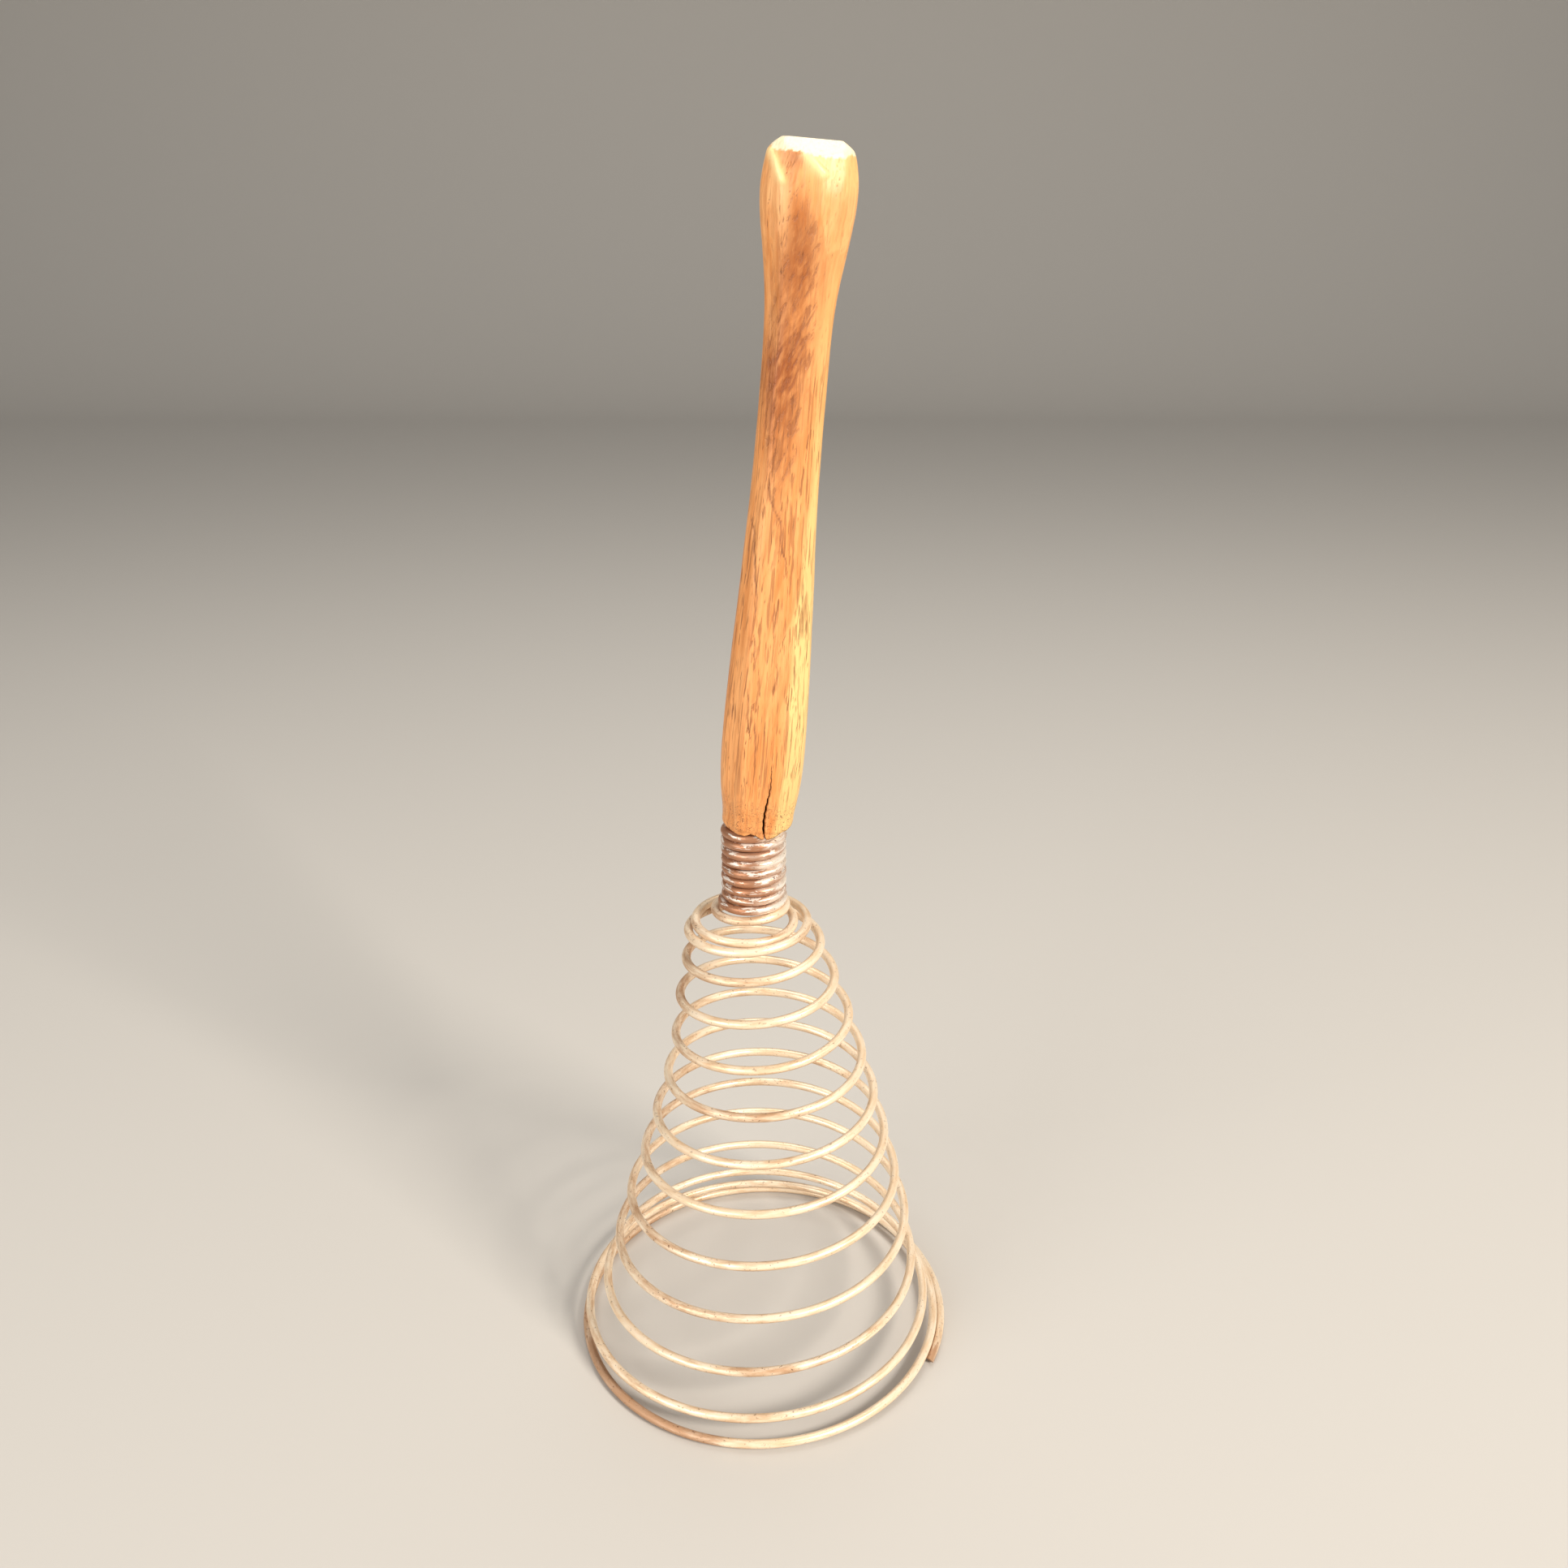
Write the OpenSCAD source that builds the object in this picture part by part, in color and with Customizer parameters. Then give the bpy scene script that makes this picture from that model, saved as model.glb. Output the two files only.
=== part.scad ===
// Sprung hand tool: a whittled wooden handle pushed into the neck of one long conical wire spring.
// Millimetres, +Z up. The origin is on the surface it stands on, under the middle of the ground turn.
// The wire is one piece on the real tool. It is cut here into turns only so that it can flex.

/* [Spring] */
// Diameter of the wire
wire_d = 3.8; // [3.6:0.05:3.85]
// Centreline radius of the ground turn
base_r = 82.5; // [81:0.5:88]
// Height of the wire where it becomes the even neck coil
cone_h = 221.4; // [212:0.1:240]

/* [Neck coil] */
// Centreline radius of the tight coil round the wood
neck_r = 11.4; // [11.4:0.1:12]
// Rise of the tight coil in one turn
neck_pitch = 4; // [3.95:0.05:4.2]
// Turns in the tight coil
neck_turns = 7; // [5:1:8]

/* [Handle] */
// Length of the handle above the neck coil, along its own axis
handle_l = 249.9; // [220:0.1:280]
// Lean of the handle from upright, towards +X, in degrees
lean = 4.75; // [0:0.25:6]
// Width where the wood meets the neck coil
foot_w = 24; // [22:0.1:25]
// Width at the swell above the neck coil
belly_w = 33; // [30:0.1:36]
// Width at the slim part of the grip
waist_w = 23.8; // [21:0.1:27]
// Width of the knob
knob_w = 33.6; // [30:0.1:37]
// Width of the sawn end
end_w = 21.7; // [19:0.1:24]
// Thickness of the grip as a share of its width. The foot is round.
flatness = 0.85; // [0.75:0.01:1]

/* [Hidden] */
wire_r = wire_d / 2;
wire_sides = 8;
// Half the gap between two neighbouring stretches of wire
cut_gap = 0.15;
cone_end = 16;
neck_end = cone_end + neck_turns;
neck_x = -3;

// The cone as turns from the ground turn's start, with the coil's radius as a share of base_r, its rise
// as a share of the cone's, and the sideways set of its centre in mm. Whole turns lie on the +X side.
CONE = [
    [-0.07, 1.000, 0.0000, 0.25], [0.5, 1.000, 0.0000, -0.25], [1, 0.990, 0.0138, -2.5],
    [1.5, 0.960, 0.0325, -2], [2.5, 0.865, 0.1050, -1], [4, 0.770, 0.2630, 0.5],
    [6, 0.625, 0.4607, 2], [8, 0.497, 0.6411, 2], [10, 0.388, 0.8138, -1.5],
    [11, 0.333, 0.8862, -3], [12, 0.297, 0.9300, -5.5], [12.5, 0.267, 0.9300, -5.5],
    [13, 0.224, 0.9325, -5.3], [13.5, 0.178, 0.9535, -4.4], [14, 0.162, 0.9645, -3.5],
    [14.5, 0.154, 0.9730, -3.3], [15, 0.144, 0.9820, -3.1], [15.5, 0.139, 0.9908, neck_x],
    [cone_end, neck_r / base_r, 1, neck_x]
];
CONE_LAST = len(CONE) - 1;
// What each column of CONE gains in a turn of the neck coil
NECK_SLOPE = [1, 0, neck_pitch / (cone_h - wire_r), 0];

// The stretches of wire between the ground turn and the flare: name, first turn, last turn
HALVES = [for (k = [1:6], h = [0, 1]) [str("turn_0", k, h == 0 ? "a" : "b"), k + h / 2, k + (h + 1) / 2]];
WHOLES = [for (k = [7:11]) [str("turn_", k < 10 ? "0" : "", k), k, k + 1]];
TURNS = concat(HALVES, WHOLES);
// The flare's first turn, and the turn where it is cut from the neck coil
flare_start = 12;
flare_end = 14;
// Rings in one turn of the cone and in one turn of the neck coil
cone_rings = 36;
neck_rings = 24;

// The handle's own axis starts at the foot of the wood
foot_x = -1.5;
foot_z = cone_h + neck_turns * neck_pitch + wire_r + 0.3;
belly_at = 0.13 * handle_l;
waist_at = 0.675 * handle_l;
knob_at = 0.935 * handle_l;
handle_rings = 48;
handle_sides = 24;
// 2 makes the handle's section an ellipse, and more makes it squarer
handle_corner = 2.5;
tenon_r = neck_r - wire_r - 0.3;
tenon_l = 36;

// A smooth curve through one column of CONE
function chord(i, c) = (CONE[i + 1][c] - CONE[i][c]) / (CONE[i + 1][0] - CONE[i][0]);
function gap(i) = CONE[i + 1][0] - CONE[i][0];
function slope(i, c) =
    i == 0 ? chord(0, c) :
    i == CONE_LAST ? NECK_SLOPE[c] :
    (gap(i) * chord(i - 1, c) + gap(i - 1) * chord(i, c)) / (gap(i - 1) + gap(i));
function stretch(turn) = max([for (i = [0:CONE_LAST - 1]) if (CONE[i][0] <= turn) i]);
function blend(u, w, a, b, slope_a, slope_b) =
    (2 * pow(u, 3) - 3 * pow(u, 2) + 1) * a + (3 * pow(u, 2) - 2 * pow(u, 3)) * b
    + (pow(u, 3) - 2 * pow(u, 2) + u) * w * slope_a + (pow(u, 3) - pow(u, 2)) * w * slope_b;
function cone(turn, c) =
    let (i = stretch(turn), u = (turn - CONE[i][0]) / gap(i))
    blend(u, gap(i), CONE[i][c], CONE[i + 1][c], slope(i, c), slope(i + 1, c));

// The wire's centreline: [radius, height, sideways set] at any turn of the cone or the neck coil
function line(turn) =
    turn >= cone_end
    ? [neck_r, cone_h + (turn - cone_end) * neck_pitch, neck_x]
    : [base_r * cone(turn, 1), wire_r + max(0, (cone_h - wire_r) * cone(turn, 2)), cone(turn, 3)];

// A point on the wire's surface, in the upright plane through the axis at that turn
function wire_point(turn, side) =
    let (at = line(turn), r = at[0] + wire_r * cos(side))
    [at[2] + r * cos(360 * turn), r * sin(360 * turn), at[1] + wire_r * sin(side)];

// Skins a stack of rings, each of the same number of points, with both ends closed
function skin(rings, n, flip) = concat(
    [[for (k = [0:n - 1]) flip ? n - 1 - k : k]],
    [[for (k = [0:n - 1]) rings * n + (flip ? k : n - 1 - k)]],
    [for (i = [0:rings - 1], k = [0:n - 1])
        let (a = i * n + k, b = i * n + (k + 1) % n)
        each flip
            ? [[a, b, b + n], [a, b + n, a + n]]
            : [[a, a + n, b + n], [a, b + n, b]]]
);

module wire_run(first, last, per_turn) {
    rings = ceil((last - first) * per_turn);
    points = [for (i = [0:rings], k = [0:wire_sides - 1])
        wire_point(first + (last - first) * i / rings, 360 * k / wire_sides)];
    polyhedron(points, skin(rings, wire_sides, true), convexity = 10);
}

// How many turns the gap at a cut takes up
function gap_turns(turn) = cut_gap / (2 * PI * line(turn)[0]);

module turn_of_wire(first, last) {
    color("burlywood") wire_run(first + gap_turns(first), last - gap_turns(last), cone_rings);
}

module ground_turn() {
    color("burlywood") wire_run(CONE[0][0], 1 - gap_turns(1), cone_rings);
}

// The two turns that draw in under the tight coil
module neck_flare() {
    color("tan") wire_run(flare_start + gap_turns(flare_start), flare_end - gap_turns(flare_end), neck_rings);
}

// The tight coil round the tenon, with two turns at its foot that spread a little
module neck_coil() {
    color("rosybrown") wire_run(flare_end + gap_turns(flare_end), neck_end, neck_rings);
}

function ease(u) = (1 - cos(180 * u)) / 2;
function bulge(u) = sqrt(1 - pow(1 - u, 2));
function handle_width(s) =
    s < belly_at ? foot_w + (belly_w - foot_w) * bulge(s / belly_at) :
    s < waist_at ? belly_w + (waist_w - belly_w) * ease(pow((s - belly_at) / (waist_at - belly_at), 0.85)) :
    s < knob_at ? waist_w + (knob_w - waist_w) * ease(pow((s - waist_at) / (knob_at - waist_at), 1.8)) :
    end_w + (knob_w - end_w) * bulge(min(1, (handle_l - s) / (handle_l - knob_at)));

function squarish(v) = sign(v) * pow(abs(v), 2 / handle_corner);
function handle_flatness(s) = 1 - (1 - flatness) * ease(min(1, s / waist_at));
// The foot is cut level, so its ring of points rises towards the side the handle leans to
function handle_point(s, side) =
    let (w = handle_width(s) / 2, across = w * squarish(cos(side)))
    [across, w * handle_flatness(s) * squarish(sin(side)), s == 0 ? across * tan(lean) : s];

module handle() {
    points = [for (i = [0:handle_rings], k = [0:handle_sides - 1])
        handle_point(handle_l * i / handle_rings, 360 * k / handle_sides)];
    color("peru") {
        translate([foot_x, 0, foot_z]) rotate([0, lean, 0])
            polyhedron(points, skin(handle_rings, handle_sides, false), convexity = 4);
        translate([neck_x, 0, foot_z - tenon_l]) cylinder(h = tenon_l + 1.5, r = tenon_r, $fn = 32);
    }
}

handle();
neck_coil();
neck_flare();
ground_turn();
for (t = TURNS)
    turn_of_wire(t[1], t[2]);
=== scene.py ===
"""Looks for a spring plunger: a whittled wooden handle in the neck of one long conical wire spring.

Lengths are in millimetres up to the point where a mesh is made, and MM turns them into metres.
The wire is one unbroken run. It is drawn in pieces that take the place of the CAD bodies of its turns.
"""
import math

import bpy
import numpy as np
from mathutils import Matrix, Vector


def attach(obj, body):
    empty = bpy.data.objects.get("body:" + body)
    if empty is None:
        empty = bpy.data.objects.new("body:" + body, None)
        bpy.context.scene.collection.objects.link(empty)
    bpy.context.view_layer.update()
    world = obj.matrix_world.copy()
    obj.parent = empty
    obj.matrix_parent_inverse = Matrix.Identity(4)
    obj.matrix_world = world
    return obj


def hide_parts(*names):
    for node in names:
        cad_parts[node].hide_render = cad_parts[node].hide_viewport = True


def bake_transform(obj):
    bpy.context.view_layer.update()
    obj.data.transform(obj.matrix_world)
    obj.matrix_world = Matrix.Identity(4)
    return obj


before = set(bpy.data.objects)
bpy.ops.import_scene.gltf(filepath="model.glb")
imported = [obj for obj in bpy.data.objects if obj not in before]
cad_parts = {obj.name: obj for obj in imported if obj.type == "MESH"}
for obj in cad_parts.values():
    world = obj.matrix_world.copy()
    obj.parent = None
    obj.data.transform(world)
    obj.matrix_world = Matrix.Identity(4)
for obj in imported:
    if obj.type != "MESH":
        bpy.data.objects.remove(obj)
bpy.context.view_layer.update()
MM = 0.001

# The spring, as in the CAD source
WIRE_R = 1.9
BASE_R = 82.5
CONE_H = 221.4
NECK_R = 11.4
NECK_PITCH = 4.0
NECK_X = -3.0
CONE_END = 16
NECK_END = 23
WIRE_START = -0.07
# Turn, radius as a share of BASE_R, rise as a share of the cone's, sideways set of the turn's centre
CONE = np.array([
    [WIRE_START, 1.000, 0.0000, 0.25], [0.5, 1.000, 0.0000, -0.25], [1, 0.990, 0.0138, -2.5],
    [1.5, 0.960, 0.0325, -2], [2.5, 0.865, 0.1050, -1], [4, 0.770, 0.2630, 0.5],
    [6, 0.625, 0.4607, 2], [8, 0.497, 0.6411, 2], [10, 0.388, 0.8138, -1.5],
    [11, 0.333, 0.8862, -3], [12, 0.297, 0.9300, -5.5], [12.5, 0.267, 0.9300, -5.5],
    [13, 0.224, 0.9325, -5.3], [13.5, 0.178, 0.9535, -4.4], [14, 0.162, 0.9645, -3.5],
    [14.5, 0.154, 0.9730, -3.3], [15, 0.144, 0.9820, -3.1], [15.5, 0.139, 0.9908, NECK_X],
    [CONE_END, NECK_R / BASE_R, 1, NECK_X],
])
NECK_SLOPE = np.array([0, NECK_PITCH / (CONE_H - WIRE_R), 0])
# The turn from which the wire looks as it does in the neck
NECK_LOOK = 13.9
# Rings in a turn and points in a ring
CONE_MESH = (150, 20)
NECK_MESH = (120, 24)
# The longest piece of wire, in turns, that is drawn as one
LONGEST_BLEND = 0.38

# The handle, as in the CAD source
HANDLE_L = 249.9
LEAN = math.radians(4.75)
FOOT = np.array([-1.5, 0.0, CONE_H + 7 * NECK_PITCH + WIRE_R + 0.3])
FOOT_W, BELLY_W, WAIST_W, KNOB_W, END_W = 24, 33, 23.8, 33.6, 21.7
BELLY_AT, WAIST_AT, KNOB_AT = 0.13 * HANDLE_L, 0.675 * HANDLE_L, 0.935 * HANDLE_L
FLATNESS = 0.85
CORNER = 2.5
TENON_R = NECK_R - WIRE_R - 0.3
TENON_L = 36
AXIS = np.array([math.sin(LEAN), 0, math.cos(LEAN)])
SIDE = np.array([math.cos(LEAN), 0, -math.sin(LEAN)])


# ---------- meshes ----------

def make_mesh(name, points, faces, material, flat_faces=(), **attributes):
    """A closed mesh piece from points in millimetres, with one number or one vector at each point."""
    mesh = bpy.data.meshes.new(name)
    mesh.from_pydata((np.asarray(points) * MM).tolist(), [], faces)
    mesh.polygons.foreach_set("use_smooth", [True] * len(mesh.polygons))
    for index in flat_faces:
        mesh.polygons[index].use_smooth = False
        for loop in mesh.polygons[index].loop_indices:
            mesh.edges[mesh.loops[loop].edge_index].use_edge_sharp = True
    for key, values in attributes.items():
        values = np.asarray(values, np.float32)
        kind, field = ("FLOAT", "value") if values.ndim == 1 else ("FLOAT_VECTOR", "vector")
        mesh.attributes.new(key, kind, "POINT").data.foreach_set(field, values.ravel())
    mesh.materials.append(material)
    mesh.validate()
    piece = bpy.data.objects.new(name, mesh)
    bpy.context.scene.collection.objects.link(piece)
    return piece


def ring_faces(rings, sides):
    """Quads between closed rings of points, wound to face outwards on a tube."""
    row, col = np.meshgrid(np.arange(rings - 1), np.arange(sides), indexing="ij")
    after = (col + 1) % sides
    quads = np.stack([row * sides + col, row * sides + after,
                      (row + 1) * sides + after, (row + 1) * sides + col], axis=-1)
    return quads.reshape(-1, 4).tolist()


def waves(at, count, low, high, seed):
    """Smooth unevenness, about -1 to 1: sines of random direction, from low to high waves per unit."""
    rng = np.random.default_rng(seed)
    at = np.atleast_2d(np.asarray(at, float).T).T
    total = np.zeros(len(at))
    for _ in range(count):
        direction = rng.normal(size=at.shape[1])
        direction /= np.linalg.norm(direction)
        pace = rng.uniform(low, high)
        total += np.sin(2 * math.pi * pace * (at @ direction) + rng.uniform(0, 2 * math.pi))
    return total / math.sqrt(count / 2) / 2


# ---------- wire ----------

def cone_columns(turn):
    """Smooth curves through the columns of CONE: radius share, rise share and sideways set."""
    knots, values = CONE[:, 0], CONE[:, 1:]
    gap = np.diff(knots)[:, None]
    chord = np.diff(values, axis=0) / gap
    inner = (gap[1:] * chord[:-1] + gap[:-1] * chord[1:]) / (gap[:-1] + gap[1:])
    slope = np.vstack([chord[:1], inner, NECK_SLOPE])
    i = np.clip(np.searchsorted(knots, turn, side="right") - 1, 0, len(gap) - 1)
    w = gap[i]
    u = ((turn - knots[i])[:, None]) / w
    return ((2 * u**3 - 3 * u**2 + 1) * values[i] + (3 * u**2 - 2 * u**3) * values[i + 1]
            + (u**3 - 2 * u**2 + u) * w * slope[i] + (u**3 - u**2) * w * slope[i + 1])


def wire_line(turn):
    """Radius, height and sideways set of the wire's centreline, a little uneven from hand winding."""
    turn = np.atleast_1d(np.asarray(turn, float))
    share = cone_columns(np.minimum(turn, CONE_END))
    over = np.maximum(turn - CONE_END, 0)
    radius = BASE_R * share[:, 0]
    height = WIRE_R + np.maximum(0, (CONE_H - WIRE_R) * share[:, 1]) + over * NECK_PITCH
    radius = radius + 0.12 * waves(turn, 5, 1.3, 4.1, seed=3)
    height = height + 0.10 * waves(turn, 5, 1.1, 3.7, seed=4) * np.clip(turn - 1, 0, 1)
    return radius, height, share[:, 2]


def wire_centre(turn):
    radius, height, side = wire_line(turn)
    angle = 2 * math.pi * np.atleast_1d(turn)
    return np.stack([side + radius * np.cos(angle), radius * np.sin(angle), height], axis=1)


def wire_length(turn):
    """Length of wire from its start to each turn."""
    steps = np.arange(WIRE_START - 0.05, NECK_END + 0.1, 1 / 90)
    run = np.linalg.norm(np.diff(wire_centre(steps), axis=0), axis=1)
    return np.interp(turn, steps, np.concatenate([[0], np.cumsum(run)]))


def tarnish_at(turn):
    """How brown the wire is: tarnish most in the neck, then at the ground turn's left and in patches, and
    painted shade down the left side of the turns.
    """
    turn = np.asarray(turn, float)
    patches = 0.26 + 0.28 * waves(turn, 6, 0.7, 3.3, seed=8)
    left_of_ground = 0.42 * np.clip((turn - 0.45) / 0.12, 0, 1) * np.clip((0.725 - turn) / 0.01, 0, 1)
    cut_end = 0.7 * np.exp(-((turn - WIRE_START) / 0.02) ** 2)
    in_neck = np.clip((turn - NECK_LOOK) / 0.6, 0, 1)
    in_cone = np.clip((NECK_LOOK - turn) / 0.6, 0, 1)
    # In both, the brown that peaks on the left, where turns end in about .5, is painted shade on the side
    # away from the key lamp; the neck's even share is tarnish
    neck = np.maximum(0.34 + 0.62 * np.cos(2 * math.pi * (turn - 0.60)), 0.1) * in_neck
    film = 0.16 * np.cos(2 * math.pi * (turn - 0.53)) * in_cone
    return np.clip(patches + film + left_of_ground + cut_end + neck, 0, 1)


def wire_piece(name, first, last, per_turn, sides, material):
    """The run of wire between two turns, closed at both ends. Its first and last rings are exact."""
    count = max(2, math.ceil((last - first) * per_turn) + 1)
    turn = np.linspace(first, last, count)
    radius, height, side = wire_line(turn)
    angle = 2 * math.pi * turn
    beta = 2 * math.pi * np.arange(sides) / sides
    out, up = WIRE_R * np.cos(beta), WIRE_R * np.sin(beta)
    reach = radius[:, None] + out[None, :]
    points = np.stack([side[:, None] + reach * np.cos(angle)[:, None],
                       reach * np.sin(angle)[:, None],
                       height[:, None] + up[None, :]], axis=-1)
    length = np.repeat(wire_length(turn), sides)
    around = np.tile(beta, count)
    run = np.stack([length * MM, WIRE_R * MM * np.cos(around), WIRE_R * MM * np.sin(around)], axis=1)
    points = points.reshape(-1, 3)
    if first == WIRE_START:
        points[:sides] = nipped_end(points[:sides], angle[0], beta)
    faces = ring_faces(count, sides)
    ends = [list(range(sides))[::-1], list(range((count - 1) * sides, count * sides))]
    faces = [f[::-1] for f in faces] + [e[::-1] for e in ends]
    return make_mesh(name, points, faces, material, flat_faces=(len(faces) - 2, len(faces) - 1),
                     run=run, tarnish=np.repeat(tarnish_at(turn), sides),
                     shine=np.repeat(np.clip((turn - NECK_LOOK) / 0.7, 0, 1), sides))


def nipped_end(ring, angle, beta):
    """The first ring, slanted and pinched as side cutters leave it."""
    back = np.array([math.sin(angle), -math.cos(angle), 0])
    centre = ring.mean(axis=0)
    pinched = centre + (ring - centre) * np.array([1, 1, 0.72])
    return pinched + back * (0.9 * np.cos(beta - 0.9) + 0.4)[:, None]


def build_wire(material):
    """All of the wire: one run on the ground, pieces across each joint, and the neck."""
    bodies = ["ground"] + [f"turn_{k:02d}{h}" for k in range(1, 7) for h in "ab"]
    bodies += [f"turn_{k:02d}" for k in range(7, 12)] + ["neck_and_handle"]
    cuts = [1 + i / 2 for i in range(12)] + [7, 8, 9, 10, 11, 12]
    # Around a hinge at a half turn, one group of pieces takes a quarter turn of wire, and the slides
    # share the rest
    edges = [0.5]
    for before, after in zip(cuts, cuts[1:]):
        hinge_next, hinge_last = after % 1 == 0.5, before % 1 == 0.5
        edges.append(after - 0.125 if hinge_next else before + 0.125 if hinge_last else before + 0.5)
    edges.append(12.5)

    ground = wire_piece("wire_ground", WIRE_START, edges[0], *CONE_MESH, material)
    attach(ground, "ground")
    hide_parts("ground_turn")
    for i, cut in enumerate(cuts):
        first, last = edges[i], edges[i + 1]
        parts = max(1, math.ceil((last - first) / LONGEST_BLEND))
        for j in range(parts):
            a = first + (last - first) * j / parts
            b = first + (last - first) * (j + 1) / parts
            piece = wire_piece(f"wire_{i + 1:02d}_{j + 1}", a, b, *CONE_MESH, material)
            p, q = wire_centre(a)[0] * MM, wire_centre(b)[0] * MM
            q[2] = p[2]
            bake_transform(piece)
            if j == 0 and cut < 12:
                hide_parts(bodies[i + 1])
    neck = wire_piece("wire_neck", edges[-1], NECK_END, *NECK_MESH, material)
    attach(neck, "neck_and_handle")
    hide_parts("neck_flare", "neck_coil")


# ---------- handle ----------

def ease(u):
    return (1 - np.cos(math.pi * u)) / 2


def bulge(u):
    return np.sqrt(np.clip(1 - (1 - u) ** 2, 0, 1))


def handle_width(s):
    """Width of the wood at each distance along the handle from its foot."""
    to_waist = np.clip((s - BELLY_AT) / (WAIST_AT - BELLY_AT), 0, 1)
    to_knob = np.clip((s - WAIST_AT) / (KNOB_AT - WAIST_AT), 0, 1)
    return np.select(
        [s < BELLY_AT, s < WAIST_AT, s < KNOB_AT],
        [FOOT_W + (BELLY_W - FOOT_W) * bulge(np.clip(s / BELLY_AT, 0, 1)),
         BELLY_W + (WAIST_W - BELLY_W) * ease(to_waist ** 0.85),
         WAIST_W + (KNOB_W - WAIST_W) * ease(to_knob ** 1.8)],
        END_W + (KNOB_W - END_W) * bulge(np.clip((HANDLE_L - s) / (HANDLE_L - KNOB_AT), 0, 1)))


# Knife facets along the grip: direction round the axis in degrees (-90 is the front), and how far in
# each one cuts, as a share of the handle's reach that way
GRIP_FACETS = [(-90, 0.985), (-44, 0.958), (-2, 1.018), (42, 0.96), (90, 0.985), (134, 0.96),
               (181, 1.022), (-135, 0.962)]
# How crisp the edges between knife cuts are
CRISPNESS = 70
# Cuts round the end: direction, reach at the sawn face in mm, and how much it grows per mm below
END_CUTS = [(-87, 5.9, 1.30), (-40, 10.9, 1.30), (-6, 10.3, 1.5), (38, 9.9, 1.3), (88, 7.6, 1.1),
            (140, 10.0, 1.2), (186, 10.9, 1.3), (-143, 11.3, 1.35),
            (-72, 11.8, 0.20), (-113, 12.4, 0.18), (-30, 13.3, 0.24), (60, 12.2, 0.25),
            (160, 13.2, 0.22)]
# Ridges left standing between cuts near the end: across and along at both ends of each, in mm
RIDGES = [((-14.2, 247.2), (-8.6, 234.7)), ((-3.6, 246.6), (5.8, 238.2))]
# The pale cut across the front of the top end, partly fresh wood and partly painted light from above:
# across, and how far down it reaches, in mm
FRESH_CUT = np.array([[-14.0, 3.0], [-11.6, 4.6], [-7.4, 4.3], [-3.3, 4.6], [0.9, 5.5], [6.5, 5.6],
                      [10.6, 5.3], [13.0, 4.0]])
# The stain on the front: along the handle in mm, strength, centre across it, and half width
STAIN = np.array([[113, 0, -1.5, 1.7], [125, 0.25, -1.9, 2.4], [137, 0.4, -2.0, 4.3],
                  [148, 0.5, -2.6, 5.8], [165, 0.8, -3.9, 7.0], [177, 1.0, -3.9, 8.6],
                  [187, 0.8, -2.6, 8.6], [197, 0.6, -1.7, 7.8], [208, 0.8, -1.2, 7.6],
                  [218, 0.7, -1.6, 6.5], [226, 0.55, -2.5, 4.9], [233, 0.3, -3.7, 3.2],
                  [240, 0, -4.0, 2.5]])
# Drying checks in the front, from the top of each down: across and along the handle, in mm
GROOVES = [
    [(-6.8, 139.3), (-5.6, 132.5), (-4.0, 128.8), (-0.7, 122.6), (0.5, 113.7), (2.8, 107.3)],
    [(-12.6, 124.3), (-9.6, 117.4), (-9.2, 108.4), (-7.9, 99.4), (-7.3, 86.8)],
    [(-8.1, 82.0), (-6.6, 77.4), (-5.8, 67.0)], [(-13.5, 55.0), (-13.0, 45.0)],
    [(-7.6, 60.7), (-7.4, 49.9), (-5.6, 40.1)], [(-4.4, 48.9), (-2.7, 26.5)], [(-0.5, 93.3), (0.0, 79.2)],
    [(9.6, 104.5), (9.7, 91.9)], [(8.7, 70.4), (10.0, 60.0)], [(-9.5, 229.5), (-9.3, 224.5)],
]
# Dents in the front: across and along, half sizes both ways, and depth. A bump has a depth below 0.
DENTS = [(-11.0, 224, 1.9, 2.6, 0.35), (-11.0, 220.5, 1.3, 3, -0.35), (7.2, 35, 2.2, 4, 0.3),
         (-12.4, 8, 3.0, 5, 0.7)]
# The split in the foot: along and across the handle, in mm
SPLIT = np.array([[-3, 3.5], [0, 2.8], [5, 2.5], [9, 2.6], [14, 3.15], [18, 3.7], [22, 4.0], [31, 3.5]])
# The ragged lower edge of the wood across the front: across, and height above or below the seat, in mm
LOWER_EDGE = np.array([[-13.8, 4.0], [-13.1, 1.7], [-12.7, 1.1], [-11.6, 0.8], [-10.5, 0.3], [-8.8, -0.4],
                       [-6.5, -1.1], [-4.2, -1.5], [-2.9, -0.9], [-2.0, -0.4], [-0.3, -1.2], [1.7, -2.7],
                       [4.3, -2.9], [6.2, -2.4], [8.0, -1.4], [9.6, -0.6], [11.1, 0.5], [12.3, 1.7],
                       [13.5, 2.9], [13.9, 4.8]])


def segment_distance(x, s, ends):
    """Signed distance across a ridge line, and the share of the way along it."""
    a, b = np.array(ends[0]), np.array(ends[1])
    d = b - a
    t = ((x - a[0]) * d[0] + (s - a[1]) * d[1]) / (d @ d)
    across = ((x - a[0]) * d[1] - (s - a[1]) * d[0]) / np.linalg.norm(d)
    return across, t


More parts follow.
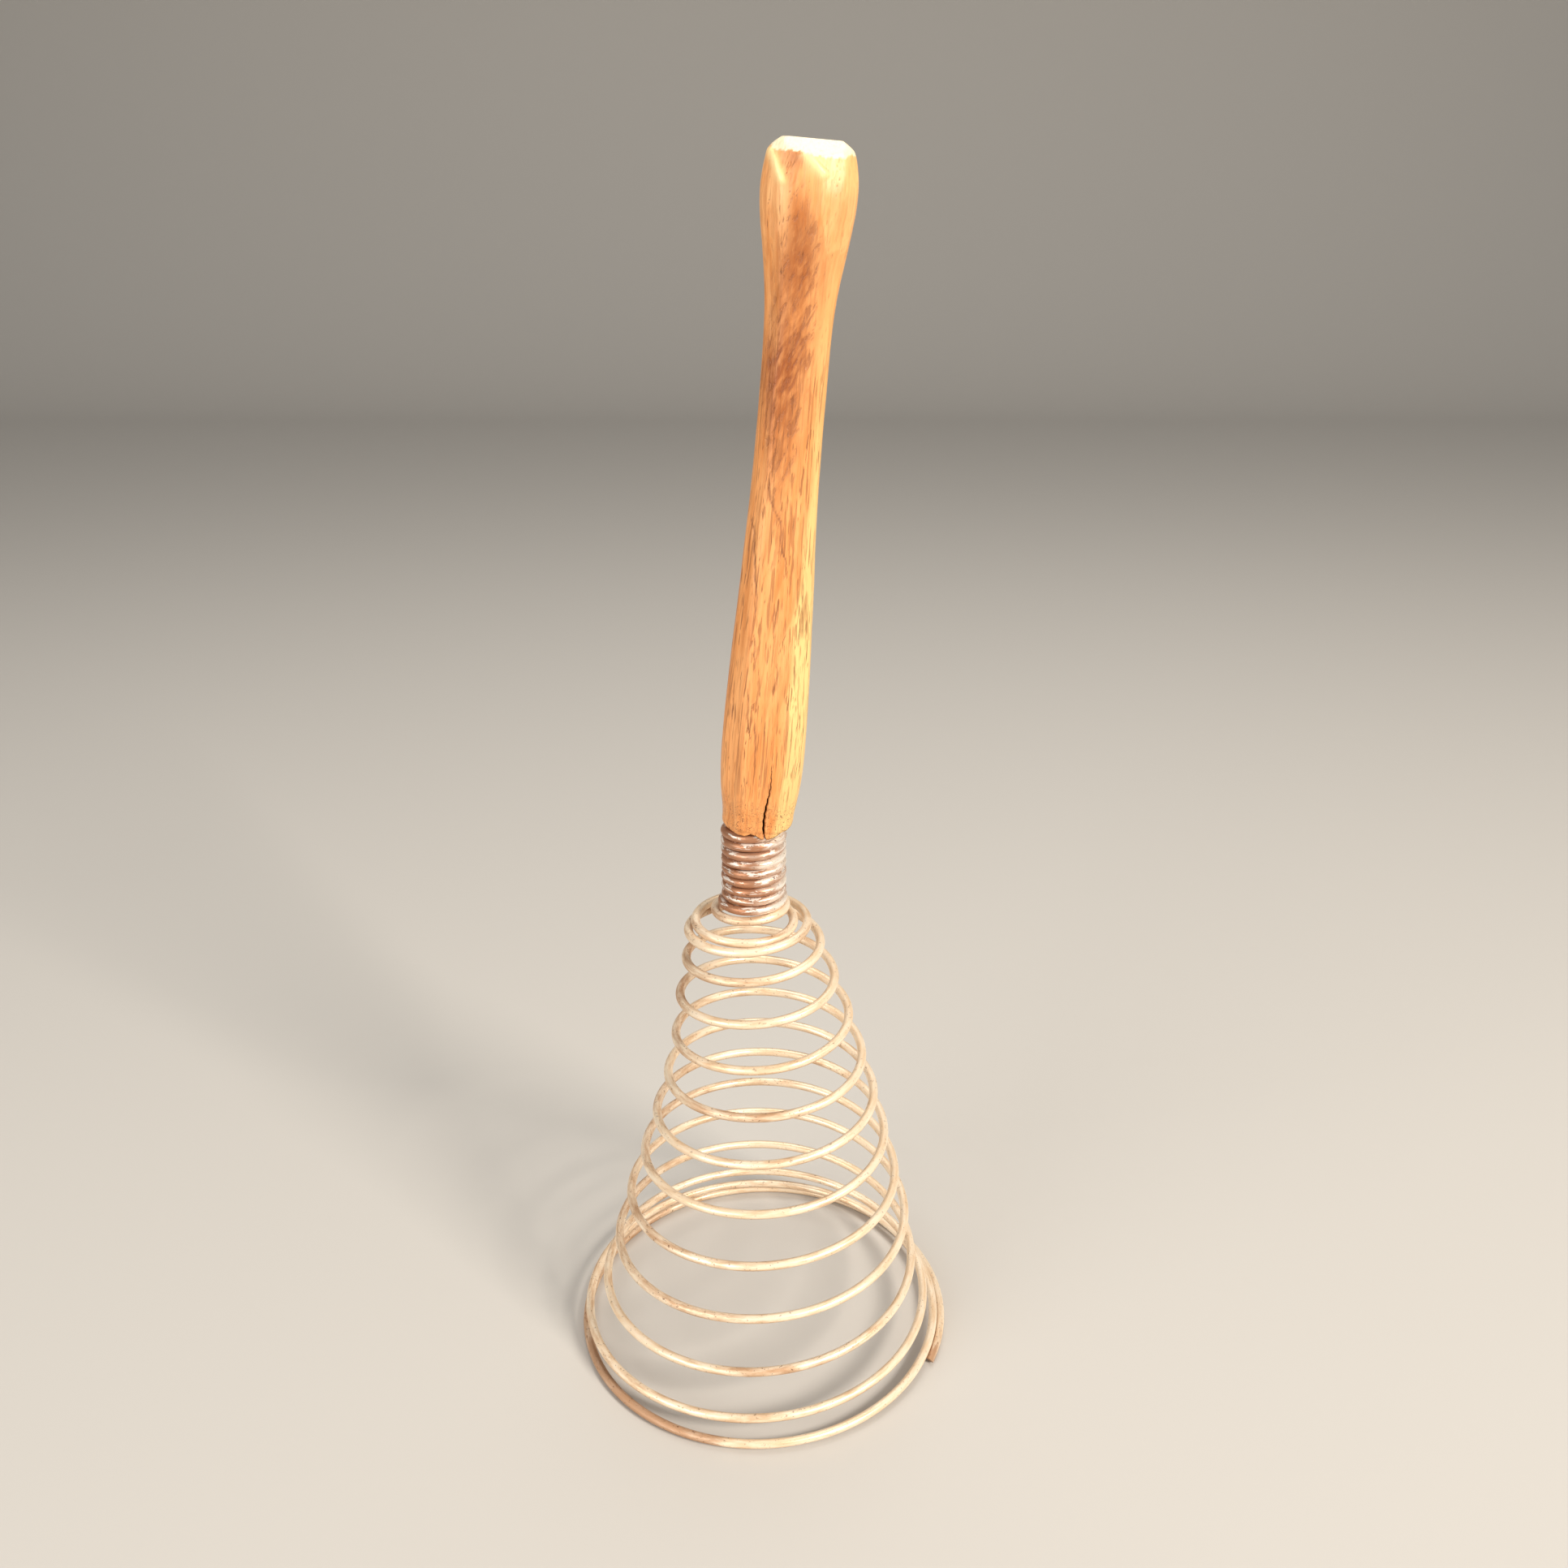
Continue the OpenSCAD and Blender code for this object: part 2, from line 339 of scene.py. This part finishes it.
def handle_reach(s, theta):
    """Distance from the handle's axis to its surface, before the small relief."""
    half = handle_width(s) / 2
    thick = half * (1 - (1 - FLATNESS) * ease(np.minimum(1, s / WAIST_AT)))
    wide, deep = np.abs(np.cos(theta) / half), np.abs(np.sin(theta) / thick)
    reach = (wide ** CORNER + deep ** CORNER) ** (-1 / CORNER)
    total = reach ** -CRISPNESS
    m = CORNER / (CORNER - 1)
    for i, (degrees, share) in enumerate(GRIP_FACETS):
        g = math.radians(degrees) + 0.07 * waves(s / HANDLE_L, 3, 1.0, 3.0, seed=20 + i)
        support = ((half * np.abs(np.cos(g))) ** m + (thick * np.abs(np.sin(g))) ** m) ** (1 / m)
        depth = share + 0.022 * waves(s / HANDLE_L, 4, 1.5, 6.0, seed=40 + i)
        facing = np.cos(theta - g)
        facet = depth * support / np.maximum(facing, 0.2)
        total = total + np.where(facing > 0.2, facet ** -CRISPNESS, 0)
    for degrees, at_end, growth in END_CUTS:
        facing = np.cos(theta - math.radians(degrees))
        limit = at_end + growth * (HANDLE_L - s)
        cut = limit / np.maximum(facing, 0.2)
        total = total + np.where(facing > 0.2, cut ** -CRISPNESS, 0)
    return total ** (-1 / CRISPNESS)


def handle_relief(x, y, s):
    """Small bumps and hollows, the split, and the ridges, as a change of reach in millimetres."""
    at = np.stack([x / 9, y / 9, s / 40], axis=1)
    relief = 0.16 * waves(at, 9, 0.5, 1.3, seed=60)
    fine = np.stack([x / 1.6, y / 1.6, s / 22], axis=1)
    relief = relief + 0.035 * waves(fine, 12, 0.5, 1.2, seed=61)
    front = y < 0
    ridge = np.zeros(len(s))
    for ends in RIDGES:
        across, t = segment_distance(x, s, ends)
        shape = np.where(across > 0, np.exp(-(across / 2.0) ** 2), np.exp(-(across / 0.9) ** 2))
        ridge = ridge + np.where(front, shape * np.clip(8 * t, 0, 1) * np.clip(6 * (1 - t), 0, 1), 0)
    centre = np.interp(s, SPLIT[:, 0], SPLIT[:, 1]) + 0.12 * np.sin(s * 1.9)
    half_gap = np.interp(s, [-3, 12, 17, 22, 31], [0.50, 0.46, 0.26, 0.15, 0.07])
    crack = np.clip(1 - np.abs(x - centre) / half_gap, 0, 1) ** 0.55 * np.where(front & (s < 31), 1, 0)
    depth = np.interp(s, [-3, 12, 20, 31], [4.0, 3.4, 1.6, 0.5])
    dents = np.zeros(len(s))
    for cx, cs, rx, rs, deep in DENTS:
        dents += deep * np.exp(-((x - cx) / rx) ** 2 - ((s - cs) / rs) ** 2) * front
    groove = grooves_at(x, y, s)
    return relief + 0.75 * ridge - crack * depth - dents - 0.35 * groove, ridge, crack, groove


def stain_at(x, y, s):
    """The brown, hand-worn stain on the front, from under the knob to the middle of the grip, and a patch
    of painted shade between the ridges under the top end.
    """
    strength = np.interp(s, STAIN[:, 0], STAIN[:, 1])
    centre = np.interp(s, STAIN[:, 0], STAIN[:, 2])
    half = np.interp(s, STAIN[:, 0], STAIN[:, 3])
    # Painted shade: a darker patch beside the left ridge, just under the pale top band
    patch = 0.55 * np.exp(-((x + 5.5) / 3.6) ** 2 - ((s - 243.5) / 3.2) ** 2)
    return (strength * np.exp(-(np.abs(x - centre) / half) ** 3) + patch) * np.clip(-y / 4, 0, 1)


def sapwood_at(x, y, s):
    """The paler wood down the right side, and on the knob right of the last ridge: partly sapwood, partly
    painted light on the side facing the key lamp.
    """
    edge = 7.6 - 2.6 * np.exp(-s / 25) + 0.8 * np.sin(s / 17) + 0.4 * np.sin(s / 5.3 + 1)
    strip = np.interp(s, [0, 20, 60, 130, 165, 205, 225, 250], [0.8, 0.9, 1.0, 0.8, 0.4, 0.2, 0.1, 0.1])
    across, t = segment_distance(x, s, RIDGES[-1])
    beside = np.clip(-across / 2, 0, 1) * np.clip((s - 228) / 10, 0, 1) * np.clip(-y / 4, 0, 1)
    behind = np.clip(1 - y / 10, 0.1, 1)
    blur = 2.2 + np.maximum(y, 0) / 3
    return np.maximum(strip * behind * np.clip((x - edge) / blur, 0, 1), 0.45 * beside)


def grooves_at(x, y, s):
    """How deep in a drying check each point is, from 0 to 1."""
    deepest = np.zeros(len(s))
    wander = x + 0.22 * np.sin(s * 0.45) + 0.12 * np.sin(s * 1.3 + 1)
    for line in GROOVES:
        line = np.array(line)
        at = np.interp(s, line[::-1, 1], line[::-1, 0])
        beyond = np.maximum(s - line[0, 1], line[-1, 1] - s)
        width = 0.6 * np.clip(-beyond / 4, 0, 1)
        deepest = np.maximum(deepest, np.clip(1 - np.abs(wander - at) / np.maximum(width, 0.01), 0, 1))
    return deepest * (y < 0)


def build_handle(material):
    rows = np.concatenate([np.arange(0, 14, 0.45), np.arange(14, 34, 0.8), np.arange(34, 228, 1.1),
                           np.arange(228, HANDLE_L, 0.5), [HANDLE_L]])
    split_x = np.arange(1.6, 5.3, 0.13)
    split_angles = -math.pi / 2 + np.arcsin(split_x / 14.6)
    even = np.radians(np.concatenate([np.arange(-180, 0, 1.1), np.arange(0, 180, 2.4)]))
    apart = np.abs(even[:, None] - split_angles[None, :]).min(axis=1) > math.radians(0.9)
    theta = np.sort(np.concatenate([even[apart], split_angles]))
    sides = len(theta)

    s0 = np.repeat(rows, sides)
    th = np.tile(theta, len(rows))
    # Near the foot, the rows bend to follow the ragged lower edge
    x0 = handle_reach(s0, th) * np.cos(th)
    ragged = np.interp(x0, LOWER_EDGE[:, 0], LOWER_EDGE[:, 1])
    rear = np.clip(np.sin(th) * 2.5 + 0.4, 0, 1)
    # Behind, it follows the top of the coil's last turn, which sinks a pitch in one turn
    last_turn = NECK_PITCH * (np.clip(th, 0, math.pi) / (2 * math.pi) - 1)
    rough_rear = last_turn + 0.8 + 0.25 * np.sin(th * 7) + 0.15 * np.sin(th * 17 + 1)
    edge = ragged * (1 - rear) + rough_rear * rear
    s = s0 + (edge + x0 * math.tan(LEAN)) * np.clip(1 - s0 / 14, 0, 1) ** 2
    reach = handle_reach(np.maximum(s, 0), th)
    # The wood stands out over the top of the coil at the front
    lip = np.clip(1 - np.maximum(s, 0) / 7, 0, 1) ** 2
    reach = reach + lip * (1.75 - 0.5 * rear)
    x, y = reach * np.cos(th), reach * np.sin(th)
    relief, ridge, crack, groove = handle_relief(x, y, s)
    below = np.interp(x, FRESH_CUT[:, 0], FRESH_CUT[:, 1])
    below = below + 0.25 * np.sin(x * 1.9) + 0.15 * np.sin(x * 4.7)
    fresh = np.clip((below - (HANDLE_L - s)) / 0.5 + 0.5, 0, 1) * np.clip(-y / 2, 0, 1)
    top = s0 > HANDLE_L - 0.01
    relief = np.where(top, relief * 0.3, relief)
    reach = reach + relief
    x, y = reach * np.cos(th), reach * np.sin(th)
    skin = FOOT + x[:, None] * SIDE + y[:, None] * np.array([0, 1, 0]) + s[:, None] * AXIS

    # Under the foot: in under the lip, across the seat, and down the tenon
    low_ring = skin[:sides]
    turn = np.arctan2(low_ring[:, 1], low_ring[:, 0] - NECK_X)
    seat_z = FOOT[2] - 0.15
    tenon_z = FOOT[2] - TENON_L

    def level(radius, z):
        return np.stack([NECK_X + radius * np.cos(turn), radius * np.sin(turn), np.full(sides, z)],
                        axis=1)

    out = np.hypot(low_ring[:, 0] - NECK_X, low_ring[:, 1])
    inset = level(np.minimum(np.interp(edge[:sides], [0.5, 3], [13.45, 11.9]), out - 0.4), seat_z)
    under = [level(TENON_R - 0.8, tenon_z), level(TENON_R, tenon_z + 0.9), level(TENON_R, tenon_z + 18),
             level(TENON_R, seat_z - 0.5), level(TENON_R + 0.4, seat_z), inset]
    crown = [FOOT + (skin[-sides:] - FOOT - HANDLE_L * AXIS) * k + HANDLE_L * AXIS
             for k in (0.96, 0.7, 0.35)]
    points = np.concatenate(under + [skin] + crown)
    rings = len(points) // sides
    faces = ring_faces(rings, sides)
    faces += [list(range(sides))[::-1], list(range((rings - 1) * sides, rings * sides))]

    offset = points - FOOT
    grain = np.stack([offset @ SIDE, offset[:, 1], offset @ AXIS], axis=1) * MM
    before, after = len(under) * sides, len(crown) * sides

    def padded(values, low=0.0, high=0.0):
        return np.concatenate([np.full(before, low), values, np.full(after, high)])

    sawn = padded(np.maximum(fresh, np.clip((s0 - HANDLE_L + 0.6) / 0.6, 0, 1)), 0.0, 1.0)
    handle = make_mesh("whittled_handle", points, faces, material, grain=grain, sawn=sawn,
                       crack=padded(np.clip(crack * 1.6, 0, 1)), ridge=padded(np.clip(ridge, 0, 1)),
                       stain=padded(stain_at(x, y, s)), groove=padded(groove),
                       sapwood=padded(sapwood_at(x, y, s)))
    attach(handle, "neck_and_handle")
    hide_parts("handle")


# ---------- materials ----------

class Nodes:
    """Short names for building a node material."""

    def __init__(self, name):
        self.material = bpy.data.materials.new(name)
        self.material.use_nodes = True
        self.tree = self.material.node_tree
        self.tree.nodes.clear()
        self.shader = self.tree.nodes.new("ShaderNodeBsdfPrincipled")
        output = self.tree.nodes.new("ShaderNodeOutputMaterial")
        self.link(self.shader.outputs[0], output.inputs[0])

    def link(self, source, target):
        self.tree.links.new(source, target)

    def put(self, socket, value):
        if isinstance(value, bpy.types.NodeSocket):
            self.link(value, socket)
        elif value is not None:
            socket.default_value = value

    def attribute(self, name, output="Fac"):
        node = self.tree.nodes.new("ShaderNodeAttribute")
        node.attribute_name = name
        return node.outputs[output]

    def math(self, kind, a, b=None, clamp=False):
        node = self.tree.nodes.new("ShaderNodeMath")
        node.operation = kind
        node.use_clamp = clamp
        self.put(node.inputs[0], a)
        self.put(node.inputs[1], b)
        return node.outputs[0]

    def stretch(self, vector, scale, shift=(0, 0, 0)):
        node = self.tree.nodes.new("ShaderNodeMapping")
        self.put(node.inputs["Vector"], vector)
        node.inputs["Scale"].default_value = scale
        node.inputs["Location"].default_value = shift
        return node.outputs[0]

    def turned(self, vector, degrees):
        """The same place, seen turned about the front-to-back axis."""
        node = self.tree.nodes.new("ShaderNodeMapping")
        self.put(node.inputs["Vector"], vector)
        node.inputs["Rotation"].default_value = (0, math.radians(degrees), 0)
        return node.outputs[0]

    def noise(self, vector, detail=2.0, roughness=0.5, distortion=0.0):
        node = self.tree.nodes.new("ShaderNodeTexNoise")
        self.put(node.inputs["Vector"], vector)
        node.inputs["Scale"].default_value = 1.0
        node.inputs["Detail"].default_value = detail
        node.inputs["Roughness"].default_value = roughness
        node.inputs["Distortion"].default_value = distortion
        return node.outputs["Fac"]

    def span(self, value, low, high, out_low=0.0, out_high=1.0):
        node = self.tree.nodes.new("ShaderNodeMapRange")
        node.clamp = True
        node.interpolation_type = "SMOOTHSTEP"
        self.put(node.inputs["Value"], value)
        limits = {"From Min": low, "From Max": high, "To Min": out_low, "To Max": out_high}
        for key, number in limits.items():
            node.inputs[key].default_value = number
        return node.outputs[0]

    def mix(self, factor, a, b, kind="MIX"):
        node = self.tree.nodes.new("ShaderNodeMix")
        node.data_type = "RGBA"
        node.blend_type = kind
        self.put(node.inputs[0], factor)
        self.put(node.inputs[6], a if isinstance(a, bpy.types.NodeSocket) else (*a, 1))
        self.put(node.inputs[7], b if isinstance(b, bpy.types.NodeSocket) else (*b, 1))
        return node.outputs[2]

    def bump(self, height, strength, distance):
        node = self.tree.nodes.new("ShaderNodeBump")
        node.inputs["Strength"].default_value = strength
        node.inputs["Distance"].default_value = distance
        self.put(node.inputs["Height"], height)
        self.link(node.outputs[0], self.shader.inputs["Normal"])


def wood_material():
    """Ring-porous wood, bare, stained and polished by hands."""
    n = Nodes("worn_handle_wood")
    grain = n.attribute("grain", "Vector")
    stain, sapwood, groove = n.attribute("stain"), n.attribute("sapwood"), n.attribute("groove")
    place = n.tree.nodes.new("ShaderNodeSeparateXYZ")
    n.put(place.inputs[0], grain)
    height_mm = n.math("MULTIPLY", place.outputs[2], 1000)
    # Growth rings: cylinders round a pith far behind the handle, pushed about by slow noise
    drift = n.noise(n.stretch(grain, (45, 45, 9)), detail=3)
    dx = n.math("ADD", place.outputs[0], 0.031)
    dy = n.math("SUBTRACT", place.outputs[1], 0.046)
    from_pith = n.math("SQRT", n.math("ADD", n.math("MULTIPLY", dx, dx), n.math("MULTIPLY", dy, dy)))
    phase = n.math("ADD", n.math("MULTIPLY", from_pith, 1 / 0.0034), n.math("MULTIPLY", drift, 3.4))
    ring = n.math("FRACT", phase)
    late = n.math("MULTIPLY", n.span(ring, 0.35, 0.86), n.span(ring, 0.93, 1.0, 1, 0))
    early = n.math("SUBTRACT", 1.0, n.span(ring, 0.10, 0.50), clamp=True)
    # Pores: short dark dashes along the grain, most of them in the early wood
    dashes = n.noise(n.stretch(grain, (1350, 1350, 105)), detail=1.5, roughness=0.55)
    # Fewer of them show at the knob and at the foot
    shown = n.math("MULTIPLY", n.span(height_mm, 150, 200, 1.0, 0.3), n.span(height_mm, 8, 30, 0.35, 1.0))
    in_early = n.math("ADD", n.math("MULTIPLY", early, 0.75), 0.25)
    pores = n.math("MULTIPLY", n.span(dashes, 0.56, 0.64), in_early)
    pores = n.math("MULTIPLY", pores, shown)
    long_dashes = n.noise(n.stretch(grain, (850, 850, 30), (0.3, 0.1, 0.7)), detail=2, roughness=0.5,
                          distortion=0.1)
    streaks = n.math("MULTIPLY", n.span(long_dashes, 0.57, 0.64), shown)
    fibre = n.noise(n.stretch(grain, (700, 700, 14)), detail=4, roughness=0.65)
    blotch = n.noise(n.stretch(grain, (75, 75, 22), (0.5, 0.2, 0.1)), detail=4, roughness=0.6)
    # Slanting flecks, where the knife ran across curly grain
    slanted = n.noise(n.stretch(n.turned(grain, -20), (480, 480, 130), (0.1, 0.6, 0.2)),
                      detail=3, roughness=0.6, distortion=0.3)
    flecks = n.math("MULTIPLY", n.span(slanted, 0.54, 0.66), n.span(stain, 0.02, 0.35))
    # Fine curling cracks in the end grain of the foot
    curl = n.noise(n.stretch(grain, (420, 420, 300)), detail=1, roughness=0.4, distortion=2.2)
    thin = n.span(n.math("ABSOLUTE", n.math("SUBTRACT", curl, 0.5)), 0.006, 0.022, 1.0, 0.0)
    crazing = n.math("MULTIPLY", thin, n.span(height_mm, 7, 17, 1.0, 0.0))

    colour = n.mix(n.span(blotch, 0.35, 0.66), (0.80, 0.350, 0.120), (0.68, 0.247, 0.064))
    # The knob is paler and pinker, in soft clouds
    clouds = n.noise(n.stretch(grain, (110, 110, 45), (0.9, 0.3, 0.4)), detail=3, roughness=0.55)
    colour = n.mix(n.math("MULTIPLY", n.span(height_mm, 195, 240), n.span(clouds, 0.3, 0.65)), colour,
                   (0.90, 0.49, 0.21))
    colour = n.mix(n.math("MULTIPLY", late, 0.40), colour, (0.50, 0.165, 0.036))
    colour = n.mix(n.span(fibre, 0.35, 0.7, 0.0, 0.38), colour, (0.90, 0.48, 0.19))
    # Paler on the right: partly sapwood, partly painted light, fading towards the back
    colour = n.mix(n.math("MULTIPLY", sapwood, 0.75), colour, (0.93, 0.68, 0.27))
    # The stain breaks up into patches at its edges
    patches = n.span(n.math("ADD", slanted, n.math("MULTIPLY", blotch, 0.8)), 0.66, 1.0, 0.62, 1.3)
    colour = n.mix(n.math("MULTIPLY", n.math("MULTIPLY", stain, patches), 0.88, clamp=True), colour,
                   (0.30, 0.080, 0.014))
    colour = n.mix(n.math("MULTIPLY", flecks, 0.42), colour, (0.24, 0.080, 0.030))
    colour = n.mix(n.math("MULTIPLY", pores, 0.72), colour, (0.24, 0.080, 0.022))
    colour = n.mix(n.math("MULTIPLY", streaks, 0.55), colour, (0.28, 0.092, 0.026))
    colour = n.mix(n.math("MULTIPLY", groove, n.span(dashes, 0.35, 0.55, 0.40, 0.85)), colour,
                   (0.17, 0.052, 0.018))
    colour = n.mix(n.math("MULTIPLY", crazing, 0.8), colour, (0.18, 0.055, 0.018))
    # Painted highlight: the ridges are painted pale along their crests
    colour = n.mix(n.math("MULTIPLY", n.attribute("ridge"), 0.95), colour, (0.98, 0.74, 0.36))
    # The top end and the cut below it are painted pale: partly fresh end grain, partly painted light from
    # above
    colour = n.mix(n.math("MULTIPLY", n.attribute("sawn"), n.span(fibre, 0.25, 0.6, 0.8, 1.0)), colour,
                   (0.93, 0.80, 0.56))
    colour = n.mix(n.attribute("crack"), colour, (0.018, 0.006, 0.003))
    n.put(n.shader.inputs["Base Color"], colour)
    n.put(n.shader.inputs["Roughness"], n.span(n.math("ADD", fibre, pores), 0.3, 1.2, 0.42, 0.62))
    n.shader.inputs["Specular IOR Level"].default_value = 0.4
    n.shader.inputs["Coat Weight"].default_value = 0.10
    n.shader.inputs["Coat Roughness"].default_value = 0.35
    sunk = n.math("ADD", n.math("ADD", pores, streaks), n.math("ADD", flecks, crazing))
    height = n.math("SUBTRACT", n.math("MULTIPLY", fibre, 0.5), n.math("MULTIPLY", sunk, 0.8))
    n.bump(height, 0.6, 0.00045)
    return n.material


def wire_material():
    """Plated spring steel, gone cream and brown with age, with painted shade on the left and underside,
    painted highlight flakes on top in the neck, and shinier in the neck.
    """
    n = Nodes("aged_spring_wire")
    run = n.attribute("run", "Vector")
    tarnish, shine = n.attribute("tarnish"), n.attribute("shine")
    patch = n.noise(n.stretch(run, (80, 430, 430)), detail=5, roughness=0.62)
    speck = n.noise(n.stretch(run, (700, 900, 900), (0.2, 0.4, 0.6)), detail=2, roughness=0.6)
    scratch = n.noise(n.stretch(run, (60, 2600, 2600)), detail=3, roughness=0.6)
    brown = n.math("ADD", n.math("MULTIPLY", patch, 0.9), n.math("MULTIPLY", tarnish, 0.6))
    brown = n.span(brown, 0.56, 1.0)
    specks = n.math("MULTIPLY", n.span(speck, 0.62, 0.70), n.span(tarnish, 0.1, 0.6, 0.5, 1.0))
    colour = n.mix(n.span(patch, 0.3, 0.7), (0.94, 0.80, 0.62), (0.84, 0.62, 0.40))
    # Painted shade: the underside of the wire is painted darker brown
    across = n.tree.nodes.new("ShaderNodeSeparateXYZ")
    n.put(across.inputs[0], run)
    under = n.span(n.math("MULTIPLY", across.outputs[2], 1000), -1.7, 0.4, 0.5, 0.0)
    colour = n.mix(under, colour, (0.42, 0.235, 0.12))
    colour = n.mix(n.math("MULTIPLY", shine, 0.7), colour, (0.98, 0.91, 0.82))
    colour = n.mix(n.math("MULTIPLY", brown, n.span(shine, 0, 1, 0.82, 0.97)), colour,
                   n.mix(shine, (0.40, 0.200, 0.100), (0.40, 0.175, 0.085)))
    # Painted highlight: in the neck, ragged pale flakes are painted on the upper side of the wire
    flakes = n.noise(n.stretch(run, (150, 520, 520), (0.7, 0.1, 0.3)), detail=4, roughness=0.65)
    upper = n.span(n.math("MULTIPLY", across.outputs[2], 1000), -0.5, 0.8)
    flakes = n.math("MULTIPLY", n.math("MULTIPLY", n.span(flakes, 0.52, 0.57), upper), shine)
    colour = n.mix(n.math("MULTIPLY", flakes, 0.9), colour, (0.97, 0.90, 0.82))
    colour = n.mix(n.math("MULTIPLY", specks, 0.8), colour, (0.15, 0.065, 0.03))
    n.put(n.shader.inputs["Base Color"], colour)
    n.put(n.shader.inputs["Metallic"], n.span(shine, 0, 1, 0.30, 0.45))
    smooth = n.math("ADD", n.span(brown, 0, 1, 0.31, 0.50), n.math("MULTIPLY", scratch, 0.08))
    n.put(n.shader.inputs["Roughness"], n.math("SUBTRACT", smooth, n.math("MULTIPLY", shine, 0.14)))
    height = n.math("ADD", n.math("MULTIPLY", scratch, 0.35), n.math("MULTIPLY", patch, 0.5))
    n.bump(n.math("SUBTRACT", height, n.math("MULTIPLY", specks, 0.5)), 0.35, 0.00025)
    return n.material


def floor_material():
    n = Nodes("pale_floor")
    n.shader.inputs["Base Color"].default_value = (0.56, 0.54, 0.51, 1)
    n.shader.inputs["Roughness"].default_value = 0.75
    n.shader.inputs["Specular IOR Level"].default_value = 0.2
    return n.material


# ---------- stage ----------

def build_stage():
    """A pale floor that sweeps up behind into a backdrop."""
    half, near, far, bend, rise = 9.0, -9.0, 3.0, 1.2, 3.0
    arc = [(far + bend * math.sin(a), bend * (1 - math.cos(a))) for a in np.linspace(0, math.pi / 2, 25)]
    profile = [(near, 0.0)] + arc + [(far + bend, bend + rise)]
    points = [(side, y, z) for y, z in profile for side in (-half, half)]
    faces = [[2 * i, 2 * i + 1, 2 * i + 3, 2 * i + 2] for i in range(len(profile) - 1)]
    mesh = bpy.data.meshes.new("floor")
    mesh.from_pydata(points, [], faces)
    mesh.polygons.foreach_set("use_smooth", [True] * len(faces))
    mesh.materials.append(floor_material())
    floor = bpy.data.objects.new("floor", mesh)
    bpy.context.scene.collection.objects.link(floor)


def area_light(name, place, aim, size, power, colour):
    data = bpy.data.lights.new(name, "AREA")
    data.shape = "DISK"
    data.size = size
    data.energy = power
    data.color = colour
    lamp = bpy.data.objects.new(name, data)
    lamp.location = place
    lamp.rotation_euler = (Vector(aim) - Vector(place)).to_track_quat("-Z", "Y").to_euler()
    bpy.context.scene.collection.objects.link(lamp)


def build_lights():
    middle = (0, 0, 0.25)
    area_light("key", (1.75, -1.6, 1.7), middle, 0.8, 92, (1.0, 0.92, 0.82))
    area_light("fill", (-1.6, -1.5, 1.0), middle, 1.6, 38, (1.0, 0.95, 0.88))
    area_light("top", (0.1, 0.5, 1.7), middle, 1.0, 8, (1.0, 0.97, 0.92))
    world = bpy.data.worlds.new("studio")
    world.use_nodes = True
    world.node_tree.nodes["Background"].inputs[0].default_value = (0.95, 0.93, 0.90, 1)
    world.node_tree.nodes["Background"].inputs[1].default_value = 0.32
    bpy.context.scene.world = world


def build_camera():
    """The photograph's view: in front, just below the top of the handle, looking down at the spring."""
    data = bpy.data.cameras.new("camera")
    data.sensor_width = 36
    data.lens = 31.68
    camera = bpy.data.objects.new("camera", data)
    camera.location = (0.0093, -0.509, 0.4779)
    camera.rotation_euler = (math.radians(90 - 22.49), 0, 0)
    bpy.context.scene.collection.objects.link(camera)
    bpy.context.scene.camera = camera


build_camera()
build_wire(wire_material())
build_handle(wood_material())
build_stage()
build_lights()
bpy.context.scene.view_settings.view_transform = "Standard"
